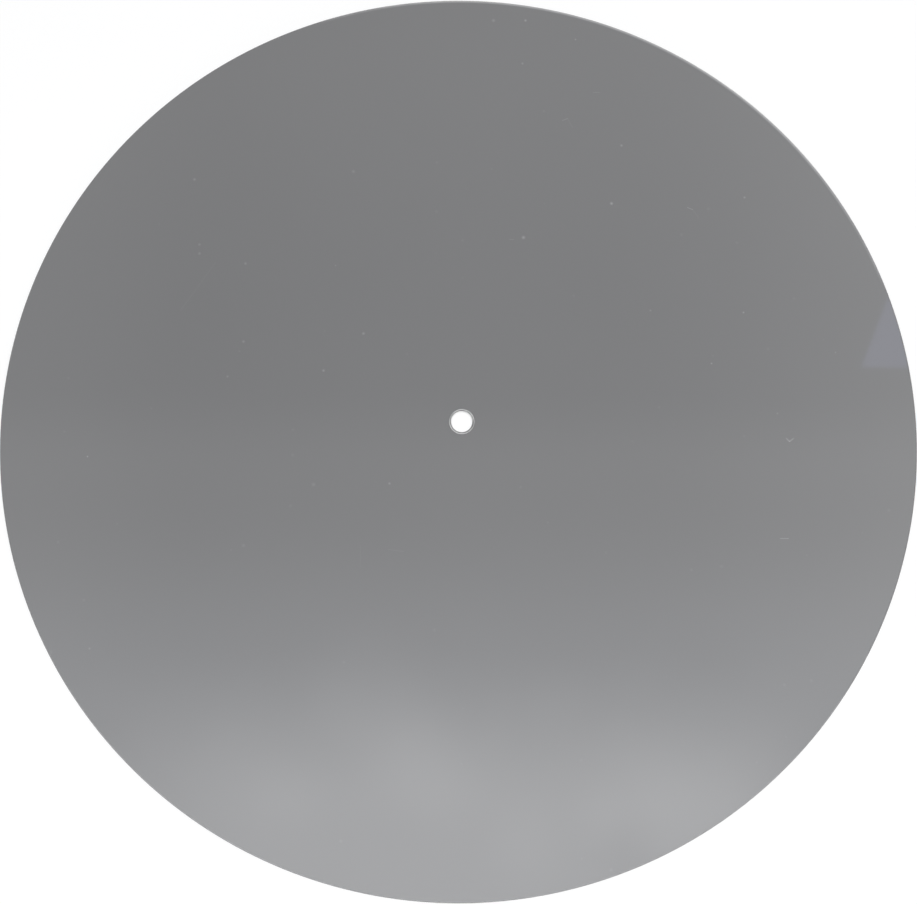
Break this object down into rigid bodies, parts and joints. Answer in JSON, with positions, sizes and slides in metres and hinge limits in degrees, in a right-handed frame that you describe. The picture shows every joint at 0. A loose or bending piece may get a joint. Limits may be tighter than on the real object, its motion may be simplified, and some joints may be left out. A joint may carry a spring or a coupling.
{
  "type": "turntable mat",
  "caption": "Thin round gloss acrylic disc with a central spindle hole and eased edges, laid on a turntable platter to carry a record.",
  "frame": {"origin": "centre of the spindle hole, level with the underside", "axes": "+Z along the spindle hole, up out of the face that carries the record; +X to the right and +Y away from the viewer in the picture"},
  "size_m": [0.295, 0.295, 0.003],
  "materials": {
    "acrylic": "gloss"
  },
  "bodies": {
    "root": {"mat": "acrylic"}
  },
  "joints": []
}
